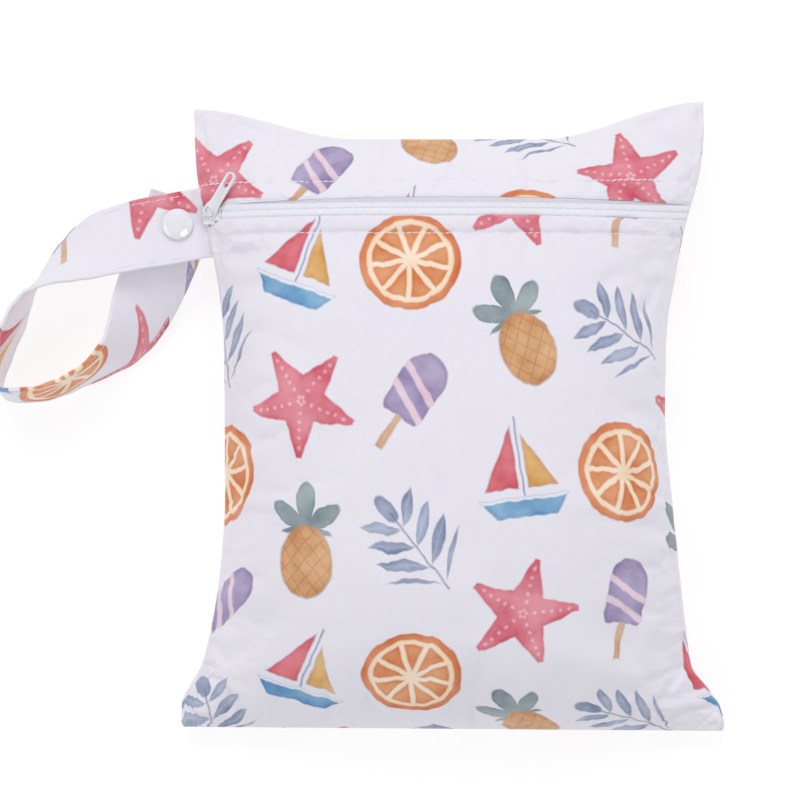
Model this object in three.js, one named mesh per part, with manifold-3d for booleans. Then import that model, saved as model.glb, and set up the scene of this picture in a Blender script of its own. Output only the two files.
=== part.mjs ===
// A zip-closed storage pouch of laminated cloth, stuffed and lying on its back, with a wrist loop.
// Millimetres: +X across the pouch, +Y towards its top edge, +Z up from the surface that it lies on.
// The origin is in the middle of the patch of the back that rests on that surface.
import * as THREE from 'three';
import { mergeVertices } from 'three/addons/utils/BufferGeometryUtils.js';
import Module from 'manifold-3d';

// Cloth and seams
const CLOTH = 1.2; // wall of the panels
const GAP = 0.3; // clearance between two pieces that touch
const SEAM_LIP = 1.3; // half the thickness of the turned seam all round
const HALF_LENGTH = 121.7; // half of the pouch from its bottom seam to its top corners
const BULGE = 2.2; // power of the cross-section: 2 is a parabola or an ellipse, more is squarer
const REST_ROUNDING = 3; // height over which the back turns up from the surface
const CORNER_SKEW = 0.11; // share by which the right top corner stands higher, and the left lower
const CORNER_FROM = 0.36; // share of the half width where the top edge starts to rise to its corners

// Zipper
const ZIP_Y = 77.5; // middle of the zipper on the middle line
const SLOT = 7.4; // opening between the folded panel edges
const TAPE_HALF_WIDTH = 12; // one woven half
const TAPE = 1; // its thickness
const TAPE_END = 0.975; // where the tapes meet the side seams, as a share of the half width
const COIL_WIDTH = 4.2;
const COIL_TOP_INSET = 0.4; // below the face of the panels
const COIL_SHOULDER = 0.7; // width of its bevelled edges
const COIL_SHOULDER_DROP = 0.49; // and their depth
const COIL_START = 0.002; // from the middle of the slider, as a share of the half width

// Slider and pull tab
const SLIDER_AT = -0.965; // along the zipper, as a share of the half width
const SLIDER_FRONT = 3.6; // from its middle to the shoulder end, which points to the left seam
const SLIDER_REAR = 4.4; // from its middle to the mouth that the chain runs into
const SLIDER_FRONT_WIDTH = 6.8;
const SLIDER_REAR_WIDTH = 6.2;
const SLIDER_CORNER = 1.4; // rounding of its shoulders
const PLATE = 0.9; // thickness of the upper plate
const BRIDGE_AT = -0.8; // middle of the bridge along the slider
const BRIDGE_HALF_SPAN = 1.7; // inside the bridge
const BRIDGE_WALL = 0.6;
const BRIDGE_WIDTH = 0.8;
const PIVOT_HEIGHT = 0.65; // pull's pivot above the plate
const BRIDGE_CLEARANCE = 0.7; // from the pivot up to the underside of the bridge
const PULL_LENGTH = 19.6; // from the pivot to the tip
const PULL_WIDTH = 4.5;
const PULL_EYE_WIDTH = 6.3;
const PULL_EYE_LENGTH = 2.9; // from the pivot to the far end of the eye
const PULL_EYE_SIDE = 0.75; // width of the eye's two sides
const PULL_SHOULDER = 0.8; // from the eye to where the tab starts to narrow
const PULL_NECK = 2.6; // length over which it narrows
const PULL_NECK_BEND = 1.2; // where the curve of the neck turns
const PULL_CORNER = 0.8; // rounding beside the eye
const PULL_HOLE_HALF = 1.3; // half the width of the oval hole
const PULL_HOLE_FROM = -3; // ends of the hole, from the middle of the rounded tip
const PULL_HOLE_TO = 0.2;
const PULL_THICK = 0.8;
const PULL_TURN = 54; // degrees from the zipper's line to the tab, lying on the pouch

// Strap and snap
const STRAP_WIDTH = 27;
const STRAP_THICK = 1.8;
const STRAP_CHAMFER = 0.5;
const STRAP_STEPS = 4; // sections between two stations
const SNAP_X = -104.6;
const SNAP_Y = 73.6;
const SNAP_SIDES = 24;
const CLASP_RADIUS = 5;
// Middle of the strap's two layers at the snap: the highest and the lowest point of each under its caps
const UPPER_LAYER = { high: 21.25, low: 21.1 };
const LOWER_LAYER = { high: 15.3, low: 14.2 };
// Radius and height of the caps' outlines, from the middle of one face to the middle of the other
const CAP_OUTLINE = [[0, 0], [5.6, 0], [6, 0.5], [5.5, 1.2], [3.6, 1.95], [0, 2.2]];
const BACK_CAP_OUTLINE = [[0, -1.2], [3.6, -1.2], [5.4, -0.5], [5.4, 0], [0, 0]];

// Sections of the stuffed pouch from the bottom seam to the top seam. Each row gives its place on the middle
// line, how much further up its two ends lie, the side seams, the height of the seam above the surface, how
// far the stuffing pushes the front up and the back down, and how soon that fades towards the side seams
// (0.5 is round, over 1 leaves a thin ear).
const SECTIONS = [
  { y: -121.7, endLift: 0, left: -103.2, right: 106.2, seam: 9, crown: 0, belly: 0, fade: 1.6 },
  { y: -119.6, endLift: 0, left: -104.2, right: 106.8, seam: 9.3, crown: 7.2, belly: 3, fade: 1.55 },
  { y: -112.7, endLift: 0, left: -104, right: 105.3, seam: 10, crown: 16, belly: 7.5, fade: 1.45 },
  { y: -105, endLift: 0, left: -100.8, right: 100, seam: 11.5, crown: 22.3, belly: 11, fade: 1.25 },
  { y: -97, endLift: 0, left: -96.2, right: 93.8, seam: 13.5, crown: 26.8, belly: 14.5, fade: 1 },
  { y: -85, endLift: 0, left: -92.8, right: 91.6, seam: 16, crown: 30.3, belly: 18.5, fade: 0.8 },
  { y: -60, endLift: 0, left: -88.4, right: 88.3, seam: 20, crown: 33.8, belly: 24.5, fade: 0.65 },
  { y: -30, endLift: 0, left: -86.3, right: 85, seam: 22, crown: 35.6, belly: 28, fade: 0.58 },
  { y: 0, endLift: 0, left: -86.4, right: 82.4, seam: 23, crown: 36, belly: 30, fade: 0.56 },
  { y: 30, endLift: 0, left: -86.8, right: 83, seam: 22.5, crown: 34.5, belly: 28, fade: 0.6 },
  { y: 55, endLift: -0.5, left: -89.8, right: 86.7, seam: 21, crown: 30.5, belly: 25, fade: 0.7 },
  { y: 77.5, endLift: -0.8, left: -94.6, right: 91.5, seam: 19, crown: 24, belly: 20, fade: 0.85 },
  { y: 92, endLift: 4, left: -97.7, right: 96.8, seam: 17, crown: 15.5, belly: 14, fade: 1.05 },
  { y: 102, endLift: 9.6, left: -98.6, right: 98.2, seam: 15, crown: 6.5, belly: 6, fade: 1.35 },
  { y: 107, endLift: 13, left: -98.8, right: 98.1, seam: 14, crown: 0, belly: 0, fade: 1.6 },
];

// Dents and soft folds of the front: the middle, the way the fold runs in degrees, and its size.
const FOLDS = [
  { name: 'lower right ear', x: 85, y: -101, run: 45, length: 13, width: 4, depth: 4 },
  { name: 'lower left ear', x: -92, y: -103, run: 118, length: 13, width: 4, depth: 3.5 },
  { name: 'top left tuck', x: -51, y: 99, run: 72, length: 10, width: 3.5, depth: 3.5 },
  { name: 'under the slider', x: -77, y: 61, run: 15, length: 10, width: 6, depth: 3 },
  { name: 'right shoulder', x: 72, y: 52, run: 58, length: 17, width: 5, depth: 1.8 },
  { name: 'left waist', x: -38, y: -5, run: 40, length: 25, width: 10, depth: 1.2 },
];
const FOLD_FADE = 6; // puffed height below which a fold dies out towards the seams

// Stations of the strap from its sewn end round the loop to its free end under the snap: the middle of the
// strap, and how far its inner edge leans up from lying flat, in degrees.
const STRAP_ROUTE = [
  { x: -94.6, y: 74.3, z: 18.9, lean: 0 },
  { x: -98.8, y: 73.5, z: 20.9, lean: 0 },
  { x: -104.6, y: 72.4, z: 21.2, lean: 0 },
  { x: -111.5, y: 71.1, z: 21.3, lean: 1 },
  { x: -119.2, y: 69.8, z: 21.5, lean: 8 },
  { x: -134.6, y: 65.8, z: 20.2, lean: 23 },
  { x: -150, y: 58.9, z: 16.4, lean: 57 },
  { x: -161.5, y: 49.6, z: 13.9, lean: 86 },
  { x: -168.5, y: 36, z: 13.9, lean: 100 },
  { x: -174.2, y: 20.2, z: 13.9, lean: 97 },
  { x: -172.8, y: 9, z: 13.8, lean: 82 },
  { x: -157, y: 8.9, z: 13.7, lean: 80 },
  { x: -141, y: 15.8, z: 13.6, lean: 78 },
  { x: -128.6, y: 25, z: 13.1, lean: 62 },
  { x: -121.8, y: 35.5, z: 12.4, lean: 42 },
  { x: -117.4, y: 45.8, z: 12.2, lean: 25 },
  { x: -112.9, y: 56.4, z: 13, lean: 12 },
  { x: -108.2, y: 67.5, z: 14.6, lean: 6 },
  { x: -105.9, y: 74.1, z: 15, lean: 5 },
  { x: -103.8, y: 80, z: 14.6, lean: 5 },
  { x: -102.6, y: 84, z: 13.8, lean: 5 },
];

// Columns and rows of the panels' facets
const COLUMNS = 26;
const LOWER_ROWS = 22;
const UPPER_ROWS = 7;
const BACK_ROWS = 28;
const TAPE_ROWS = 2;

const FRONT = 'front';
const BACK = 'back';
const RAD = Math.PI / 180;
const SAME_POINT = 1e-4; // points closer than this are one
const SLOPE_STEP = 0.01; // share of the half width over which the slope of the zipper is taken

const wasm = await Module();
wasm.setup();

// Finishes
const printedCloth = () =>
  new THREE.MeshStandardMaterial({ color: 0xecebf2, roughness: 0.65, metalness: 0 });
const wovenTape = () =>
  new THREE.MeshStandardMaterial({ color: 0xe4e4ea, roughness: 0.8, metalness: 0 });
const whiteNylon = () =>
  new THREE.MeshStandardMaterial({ color: 0xeeeef0, roughness: 0.45, metalness: 0 });
const paintedMetal = () =>
  new THREE.MeshStandardMaterial({ color: 0xe9e9ee, roughness: 0.35, metalness: 0.1 });

// A smooth curve through one column of a table, with no overshoot between its rows.
function smoothColumn(rows, key, column) {
  const at = rows.map((row) => row[key]);
  const value = rows.map((row) => row[column]);
  const slope = at.slice(1).map((end, i) => (value[i + 1] - value[i]) / (end - at[i]));
  const tangent = value.map((_, i) => {
    const before = slope[Math.max(i - 1, 0)];
    const after = slope[Math.min(i, slope.length - 1)];
    return before * after > 0 ? (2 * before * after) / (before + after) : 0;
  });
  return (where) => {
    const i = Math.min(Math.max(at.findLastIndex((a) => a <= where), 0), slope.length - 1);
    const span = at[i + 1] - at[i];
    const p = (where - at[i]) / span;
    const q = 1 - p;
    const ends = (1 + 2 * p) * q * q * value[i] + (1 + 2 * q) * p * p * value[i + 1];
    return ends + p * q * span * (q * tangent[i] - p * tangent[i + 1]);
  };
}

const section = {};
for (const column of ['endLift', 'left', 'right', 'seam', 'crown', 'belly', 'fade']) {
  section[column] = smoothColumn(SECTIONS, 'y', column);
}
const BOTTOM_Y = SECTIONS[0].y;
const TOP_Y = SECTIONS[SECTIONS.length - 1].y;

// How deep the folds press into the front at a point of it.
function foldDepth(x, y) {
  let depth = 0;
  for (const fold of FOLDS) {
    const turn = fold.run * RAD;
    const along = (x - fold.x) * Math.cos(turn) + (y - fold.y) * Math.sin(turn);
    const across = (y - fold.y) * Math.cos(turn) - (x - fold.x) * Math.sin(turn);
    depth += fold.depth * Math.exp(-((along / fold.length) ** 2) - (across / fold.width) ** 2);
  }
  return depth;
}

// Height above the resting surface, rounded off where the cloth comes down to it.
function laidDown(height) {
  if (height >= REST_ROUNDING) return height;
  if (height <= -REST_ROUNDING) return 0;
  return (height + REST_ROUNDING) ** 2 / (4 * REST_ROUNDING);
}

// A point of the cloth: across runs from -1 at the left side seam to 1 at the right one, y is the section's
// place on the middle line, and inset is the depth below the outer face, towards the inside of the pouch.
function cloth(side, across, y, inset) {
  const reach = Math.abs(across);
  const puff = Math.max(1 - reach ** BULGE, 0) ** section.fade(y);
  const left = section.left(y);
  const right = section.right(y);
  const x = (left + right) / 2 + across * ((right - left) / 2 - inset);
  const cornerRise = THREE.MathUtils.smoothstep(reach, CORNER_FROM, 1);
  const rise = section.endLift(y) * (1 + CORNER_SKEW * Math.sign(across)) * cornerRise;
  const height = y + rise;
  const lipInset = (inset * (SEAM_LIP - GAP / 2)) / CLOTH;
  const puffInset = inset - lipInset;
  const lip = SEAM_LIP - lipInset;
  const place = new THREE.Vector3(x, height * (1 - inset / HALF_LENGTH), section.seam(y));
  if (side === FRONT) {
    const crown = section.crown(y) * puff;
    place.z += lip + crown - puffInset * puff;
    place.z -= (foldDepth(x, height) * crown) / (crown + FOLD_FADE);
  } else {
    const raw = place.z - lip - section.belly(y) * puff + puffInset * puff;
    place.z = laidDown(raw - inset) + inset;
  }
  return place;
}

// A geometry from points and triangles, turned so that its faces point outwards.
function closedGeometry(points, triangles) {
  let volume = 0;
  for (const [a, b, c] of triangles) {
    volume += points[a].dot(new THREE.Vector3().crossVectors(points[b], points[c]));
  }
  const outward = volume > 0 ? triangles : triangles.map(([a, b, c]) => [a, c, b]);
  const geometry = new THREE.BufferGeometry().setFromPoints(points);
  return geometry.setIndex(outward.flat());
}

// A wall between two grids of points that face each other, closed round its rim.
function wallBetween(outer, inner) {
  const rows = outer.length;
  const columns = outer[0].length;
  const points = [...outer.flat(), ...inner.flat()];
  const triangles = [];
  const quad = (a, b, c, d) => triangles.push([a, b, c], [a, c, d]);
  const out = (i, j) => i * columns + j;
  const back = (i, j) => rows * columns + out(i, j);
  for (let i = 0; i + 1 < rows; i++) {
    for (let j = 0; j + 1 < columns; j++) {
      quad(out(i, j), out(i, j + 1), out(i + 1, j + 1), out(i + 1, j));
      quad(back(i, j), back(i + 1, j), back(i + 1, j + 1), back(i, j + 1));
    }
    quad(out(i, 0), out(i + 1, 0), back(i + 1, 0), back(i, 0));
    const last = columns - 1;
    quad(out(i + 1, last), out(i, last), back(i, last), back(i + 1, last));
  }
  for (let j = 0; j + 1 < columns; j++) {
    quad(out(0, j + 1), out(0, j), back(0, j), back(0, j + 1));
    const last = rows - 1;
    quad(out(last, j), out(last, j + 1), back(last, j + 1), back(last, j));
  }
  return closedGeometry(points, triangles);
}

// A solid through rings of equal length, with a flat end on each side.
function loft(rings) {
  const sides = rings[0].length;
  const triangles = [];
  for (let i = 0; i + 1 < rings.length; i++) {
    for (let j = 0; j < sides; j++) {
      const a = i * sides + j;
      const b = i * sides + ((j + 1) % sides);
      triangles.push([a, b, b + sides], [a, b + sides, a + sides]);
    }
  }
  const end = (rings.length - 1) * sides;
  for (let j = 1; j + 1 < sides; j++) {
    triangles.push([0, j + 1, j], [end, end + j, end + j + 1]);
  }
  return closedGeometry(rings.flat(), triangles);
}

// Steps from 0 to 1, spaced evenly or drawn together towards the ends that curve most.
const evenSteps = (count) => Array.from({ length: count + 1 }, (_, i) => i / count);
const closeAtBoth = (count) => evenSteps(count).map((t) => (1 - Math.cos(t * Math.PI)) / 2);
const closeAtStart = (count) => evenSteps(count).map((t) => 1 - Math.cos((t * Math.PI) / 2));
const closeAtEnd = (count) => evenSteps(count).map((t) => Math.sin((t * Math.PI) / 2));
const spread = (steps, from, to) => steps.map((t) => THREE.MathUtils.lerp(from, to, t));

// One patch of a side of the pouch as a wall between two insets.
function clothPatch(side, ends, rows, outerInset, innerInset) {
  const columns = spread(closeAtBoth(COLUMNS), -ends, ends);
  const layer = (inset) => rows.map((y) => columns.map((across) => cloth(side, across, y, inset)));
  return wallBetween(layer(outerInset), layer(innerInset));
}

// Booleans on closed geometries
function solidOf(geometry) {
  const bare = new THREE.BufferGeometry();
  bare.setAttribute('position', geometry.getAttribute('position').clone());
  bare.setIndex(geometry.index);
  const merged = mergeVertices(bare, SAME_POINT);
  const vertProperties = merged.getAttribute('position').array;
  const triVerts = new Uint32Array(merged.index.array);
  return new wasm.Manifold(new wasm.Mesh({ numProp: 3, vertProperties, triVerts }));
}

function geometryOf(solid) {
  const { vertProperties, triVerts } = solid.getMesh();
  const geometry = new THREE.BufferGeometry();
  geometry.setAttribute('position', new THREE.BufferAttribute(vertProperties, 3));
  return geometry.setIndex(new THREE.BufferAttribute(triVerts, 1));
}

const joined = (geometries) =>
  geometryOf(geometries.map(solidOf).reduce((whole, piece) => whole.add(piece)));
const cutBy = (geometry, tool) => geometryOf(solidOf(geometry).subtract(solidOf(tool)));

function mesh(name, geometry, material) {
  const made = new THREE.Mesh(geometry, material);
  made.name = name;
  return made;
}

// Panels
const lowerRows = spread(closeAtStart(LOWER_ROWS), BOTTOM_Y, ZIP_Y - SLOT / 2);
const upperRows = spread(closeAtEnd(UPPER_ROWS), ZIP_Y + SLOT / 2, TOP_Y);
const backRows = spread(closeAtBoth(BACK_ROWS), BOTTOM_Y, TOP_Y);

function panels() {
  return [
    mesh('front_lower_panel', clothPatch(FRONT, 1, lowerRows, 0, CLOTH), printedCloth()),
    mesh('front_upper_panel', clothPatch(FRONT, 1, upperRows, 0, CLOTH), printedCloth()),
    mesh('back_panel', clothPatch(BACK, 1, backRows, 0, CLOTH), printedCloth()),
  ];
}

// The slider's own frame: X along the zipper, Y up the front, Z out of the cloth.
function sliderFrame() {
  const origin = cloth(FRONT, SLIDER_AT, ZIP_Y, 0);
  const along = cloth(FRONT, SLIDER_AT + SLOPE_STEP, ZIP_Y, 0).sub(origin).normalize();
  const up = cloth(FRONT, SLIDER_AT, ZIP_Y + CLOTH, 0).sub(origin);
  const outward = new THREE.Vector3().crossVectors(along, up).normalize();
  up.crossVectors(outward, along);
  const turn = new THREE.Matrix4().makeBasis(along, up, outward);
  const frame = new THREE.Group();
  frame.position.copy(origin);
  frame.quaternion.setFromRotationMatrix(turn);
  frame.updateMatrix();
  return frame;
}

// Depths of the zipper's layers below the face of the panels
const TAPE_SLACK = 0.15; // more than the clearance, for the facets of the panels
const TAPE_TOP = CLOTH + GAP + TAPE_SLACK;
const TAPE_BOTTOM = TAPE_TOP + TAPE;
const COIL_BOTTOM = TAPE_TOP - GAP;
const SLOPE_STRETCH = 1.4; // layers lie this much further apart on the slope at the side seam
const LOWER_PLATE_TOP = TAPE_BOTTOM * SLOPE_STRETCH + 2 * GAP;
const LOWER_PLATE = 0.7;
const POST = { from: -2.6, to: -1.4, width: 1.4 };
const FLANGE_WIDTH = 0.65;
const FLANGE_FROM = -1.2;
const FLANGE_DROP = 0.95;

// The two woven halves, sewn behind the panel edges and parted round the slider's post
function tapes(frame) {
  const length = POST.to - POST.from + 2 * GAP;
  const notch = new THREE.BoxGeometry(length, POST.width + 2 * GAP, 2 * TAPE_BOTTOM + SLOT);
  notch.translate((POST.from + POST.to) / 2, 0, 0);
  notch.applyMatrix4(frame.matrix);
  const near = GAP / 2;
  return [
    { name: 'zipper_tape_upper', from: near, to: TAPE_HALF_WIDTH },
    { name: 'zipper_tape_lower', from: -TAPE_HALF_WIDTH, to: -near },
  ].map(({ name, from, to }) => {
    const rows = spread(evenSteps(TAPE_ROWS), ZIP_Y + from, ZIP_Y + to);
    const strip = clothPatch(FRONT, TAPE_END, rows, TAPE_TOP, TAPE_BOTTOM);
    return mesh(name, cutBy(strip, notch), wovenTape());
  });
}

// The closed chain, from the slider's post to the right side seam
function coil() {
  const half = COIL_WIDTH / 2;
  const profile = [
    { off: -half, inset: COIL_BOTTOM },
    { off: half, inset: COIL_BOTTOM },
    { off: half, inset: COIL_TOP_INSET + COIL_SHOULDER_DROP },
    { off: half - COIL_SHOULDER, inset: COIL_TOP_INSET },
    { off: COIL_SHOULDER - half, inset: COIL_TOP_INSET },
    { off: -half, inset: COIL_TOP_INSET + COIL_SHOULDER_DROP },
  ];
  const stations = spread(closeAtBoth(2 * COLUMNS), SLIDER_AT + COIL_START, TAPE_END);
  const rings = stations.map((across) =>
    profile.map(({ off, inset }) => cloth(FRONT, across, ZIP_Y + off, inset)),
  );
  return mesh('zipper_coil', loft(rings), whiteNylon());
}

// The slider: an upper plate with flanges down beside the chain, a post through the tapes to a lower plate,
// and the bridge that holds the pull
function slider() {
  const outline = new THREE.Shape();
  const frontHalf = SLIDER_FRONT_WIDTH / 2;
  const rearHalf = SLIDER_REAR_WIDTH / 2;
  const round = SLIDER_CORNER;
  outline.moveTo(-SLIDER_FRONT + round, -frontHalf);
  outline.lineTo(0, -frontHalf);
  outline.lineTo(SLIDER_REAR, -rearHalf);
  outline.lineTo(SLIDER_REAR, rearHalf);
  outline.lineTo(0, frontHalf);
  outline.lineTo(-SLIDER_FRONT + round, frontHalf);
  outline.quadraticCurveTo(-SLIDER_FRONT, frontHalf, -SLIDER_FRONT, frontHalf - round);
  outline.lineTo(-SLIDER_FRONT, round - frontHalf);
  outline.quadraticCurveTo(-SLIDER_FRONT, -frontHalf, -SLIDER_FRONT + round, -frontHalf);
  const plate = new THREE.ExtrudeGeometry(outline, {
    depth: PLATE,
    bevelEnabled: false,
    curveSegments: 5,
  });

  const flangeLength = SLIDER_REAR - FLANGE_FROM;
  const flanges = [-1, 1].map((sign) => {
    const flange = new THREE.BoxGeometry(flangeLength, FLANGE_WIDTH, FLANGE_DROP + PLATE / 2);
    const middle = sign * (rearHalf - FLANGE_WIDTH / 2);
    return flange.translate(FLANGE_FROM + flangeLength / 2, middle, (PLATE / 2 - FLANGE_DROP) / 2);
  });

  const lowerBottom = LOWER_PLATE_TOP + LOWER_PLATE;
  const postHeight = lowerBottom + PLATE / 2;
  const post = new THREE.BoxGeometry(POST.to - POST.from, POST.width, postHeight);
  post.translate((POST.from + POST.to) / 2, 0, PLATE / 2 - postHeight / 2);
  const lowerLength = SLIDER_REAR - POST.from;
  const lower = new THREE.BoxGeometry(lowerLength, SLIDER_REAR_WIDTH, LOWER_PLATE);
  lower.translate(POST.from + lowerLength / 2, 0, -LOWER_PLATE_TOP - LOWER_PLATE / 2);

  const under = PIVOT_HEIGHT + BRIDGE_CLEARANCE;
  const outer = BRIDGE_HALF_SPAN + BRIDGE_WALL;
  const arch = new THREE.Shape();
  arch.moveTo(-outer, -PLATE / 2);
  arch.lineTo(-outer, under);
  arch.quadraticCurveTo(-outer, under + BRIDGE_WALL, -outer + BRIDGE_WALL, under + BRIDGE_WALL);
  arch.lineTo(outer - BRIDGE_WALL, under + BRIDGE_WALL);
  arch.quadraticCurveTo(outer, under + BRIDGE_WALL, outer, under);
  arch.lineTo(outer, -PLATE / 2);
  arch.lineTo(BRIDGE_HALF_SPAN, -PLATE / 2);
  arch.lineTo(BRIDGE_HALF_SPAN, under);
  arch.lineTo(-BRIDGE_HALF_SPAN, under);
  arch.lineTo(-BRIDGE_HALF_SPAN, -PLATE / 2);
  const bridge = new THREE.ExtrudeGeometry(arch, {
    depth: BRIDGE_WIDTH,
    bevelEnabled: false,
    curveSegments: 4,
  });
  bridge.rotateX(Math.PI / 2);
  bridge.translate(BRIDGE_AT, BRIDGE_WIDTH / 2, PLATE);

  return mesh('zipper_slider', joined([plate, ...flanges, post, lower, bridge]), paintedMetal());
}

// The pull: a flat tab with an eye round the bridge and an oval hole near its tip, its pivot at its origin
function pull() {
  const bar = PULL_THICK / 2;
  const eyeHalf = PULL_EYE_WIDTH / 2;
  const half = PULL_WIDTH / 2;
  const shoulder = PULL_EYE_LENGTH + PULL_SHOULDER;
  const bend = shoulder + PULL_NECK_BEND;
  const neck = shoulder + PULL_NECK;
  const round = PULL_CORNER;
  const tab = new THREE.Shape();
  tab.moveTo(-bar, round - eyeHalf);
  tab.quadraticCurveTo(-bar, -eyeHalf, round - bar, -eyeHalf);
  tab.lineTo(shoulder, -eyeHalf);
  tab.quadraticCurveTo(bend, -half, neck, -half);
  tab.absarc(PULL_LENGTH - half, 0, half, -Math.PI / 2, Math.PI / 2, false);
  tab.lineTo(neck, half);
  tab.quadraticCurveTo(bend, half, shoulder, eyeHalf);
  tab.lineTo(round - bar, eyeHalf);
  tab.quadraticCurveTo(-bar, eyeHalf, -bar, eyeHalf - round);

  const eyeInside = eyeHalf - PULL_EYE_SIDE;
  const eye = new THREE.Path();
  eye.moveTo(bar, -eyeInside);
  eye.lineTo(bar, eyeInside);
  eye.lineTo(PULL_EYE_LENGTH, eyeInside);
  eye.lineTo(PULL_EYE_LENGTH, -eyeInside);
  const tip = PULL_LENGTH - half;
  const hole = new THREE.Path();
  hole.absarc(tip + PULL_HOLE_FROM, 0, PULL_HOLE_HALF, Math.PI * 1.5, Math.PI / 2, true);
  hole.absarc(tip + PULL_HOLE_TO, 0, PULL_HOLE_HALF, Math.PI / 2, -Math.PI / 2, true);
  tab.holes.push(eye, hole);
  const geometry = new THREE.ExtrudeGeometry(tab, {
    depth: PULL_THICK,
    bevelEnabled: false,
    curveSegments: 8,
  });
  geometry.translate(0, 0, -PULL_THICK / 2);
  return mesh('zipper_pull', geometry, paintedMetal());
}

// The strap: a folded flat band that turns on edge round the loop
function strap() {
  const places = STRAP_ROUTE.map(({ x, y, z }) => new THREE.Vector3(x, y, z));
  const route = new THREE.CatmullRomCurve3(places, false, 'catmullrom', 0.5);
  const lean = new THREE.SplineCurve(STRAP_ROUTE.map((row, i) => new THREE.Vector2(i, row.lean)));
  const half = STRAP_WIDTH / 2;
  const thick = STRAP_THICK / 2;
  const profile = [
    [half, thick - STRAP_CHAMFER],
    [half - STRAP_CHAMFER, thick],
    [STRAP_CHAMFER - half, thick],
    [-half, thick - STRAP_CHAMFER],
    [-half, STRAP_CHAMFER - thick],
    [STRAP_CHAMFER - half, -thick],
    [half - STRAP_CHAMFER, -thick],
    [half, STRAP_CHAMFER - thick],
  ];
  const steps = evenSteps(STRAP_STEPS * (STRAP_ROUTE.length - 1));
  const rings = steps.map((t) => {
    const middle = route.getPoint(t);
    const heading = route.getTangent(t);
    const turn = lean.getPoint(t).y * RAD;
    const inner = new THREE.Vector3(-heading.y, heading.x, 0).normalize();
    const width = inner.multiplyScalar(Math.cos(turn));
    width.z = Math.sin(turn);
    width.addScaledVector(heading, -width.dot(heading)).normalize();
    const face = new THREE.Vector3().crossVectors(heading, width);
    return profile.map(([across, out]) =>
      middle.clone().addScaledVector(width, across).addScaledVector(face, out),
    );
  });
  return mesh('strap_loop', loft(rings), printedCloth());
}

// The snap: a domed cap on the strap, the clasp between its two layers and a plain cap below
function turned(name, profile, base) {
  const points = profile.map(([radius, height]) => new THREE.Vector2(radius, height));
  const made = mesh(name, new THREE.LatheGeometry(points, SNAP_SIDES), whiteNylon());
  made.geometry.rotateX(Math.PI / 2);
  made.position.set(SNAP_X, SNAP_Y, base);
  return made;
}

function snap() {
  const half = STRAP_THICK / 2;
  const claspTop = UPPER_LAYER.low - half - GAP;
  const claspBottom = LOWER_LAYER.high + half + 2 * GAP;
  const claspHeight = claspTop - claspBottom;
  const claspOutline = [[0, 0], [CLASP_RADIUS, 0], [CLASP_RADIUS, claspHeight], [0, claspHeight]];
  return [
    turned('snap_cap', CAP_OUTLINE, UPPER_LAYER.high + half + GAP),
    turned('snap_clasp', claspOutline, claspBottom),
    turned('snap_back_cap', BACK_CAP_OUTLINE, LOWER_LAYER.low - half - GAP),
  ];
}

const pouch = new THREE.Group();
const frame = sliderFrame();
pouch.add(...panels(), ...tapes(frame), coil(), strap(), ...snap(), frame);
frame.add(slider());
const pivot = new THREE.Group();
pivot.position.set(BRIDGE_AT, 0, PLATE + PIVOT_HEIGHT);
pivot.rotation.z = PULL_TURN * RAD;
pivot.add(pull());
frame.add(pivot);

export default pouch;
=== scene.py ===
import bpy
import math
import numpy as np
from functools import partialmethod
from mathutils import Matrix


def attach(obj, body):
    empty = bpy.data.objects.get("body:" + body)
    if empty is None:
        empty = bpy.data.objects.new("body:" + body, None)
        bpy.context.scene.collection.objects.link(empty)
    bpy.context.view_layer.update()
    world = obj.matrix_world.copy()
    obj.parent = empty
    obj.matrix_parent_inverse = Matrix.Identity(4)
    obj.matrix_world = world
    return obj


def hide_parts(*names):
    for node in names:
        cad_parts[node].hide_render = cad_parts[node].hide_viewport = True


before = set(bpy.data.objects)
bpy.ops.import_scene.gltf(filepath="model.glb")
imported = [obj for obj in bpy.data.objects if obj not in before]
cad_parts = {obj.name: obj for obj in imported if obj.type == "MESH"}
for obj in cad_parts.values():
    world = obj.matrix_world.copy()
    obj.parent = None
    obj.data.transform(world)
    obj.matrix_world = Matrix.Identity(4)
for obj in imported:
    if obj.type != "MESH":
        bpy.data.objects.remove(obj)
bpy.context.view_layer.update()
bpy.ops.object.select_all(action="DESELECT")

# Table, light and camera
# The pouch lies on its back on a bright white table in a white room and is seen from straight above. A wide
# soft light stands beyond its top edge, weaker ones left, right and below, and the last is only mirrored.
scene = bpy.context.scene
scene.view_settings.view_transform = "Standard"

CAMERA_HEIGHT = 1.02
SEAM_HEIGHT = 0.02
VIEW_WIDTH = 0.3077
VIEW_MIDDLE = (-0.0192, 0.00615)
SENSOR = 36
bpy.ops.object.camera_add(location=(*VIEW_MIDDLE, CAMERA_HEIGHT), rotation=(0, 0, 0))
camera = bpy.context.object
camera.data.sensor_width = SENSOR
camera.data.lens = SENSOR * (CAMERA_HEIGHT - SEAM_HEIGHT) / VIEW_WIDTH
scene.camera = camera


def set_inputs(node, values):
    """Sets sockets of a node to plain values, or links other sockets to them."""
    for label, value in values.items():
        if isinstance(value, bpy.types.NodeSocket):
            node.id_data.links.new(value, node.inputs[label])
        else:
            node.inputs[label].default_value = value


room = bpy.data.worlds.new("white_room")
scene.world = room
room.use_nodes = True
set_inputs(room.node_tree.nodes["Background"], {"Color": (0.96, 0.965, 1.0, 1), "Strength": 0.585})

LIGHT_SHAPE = 0.7


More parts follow.
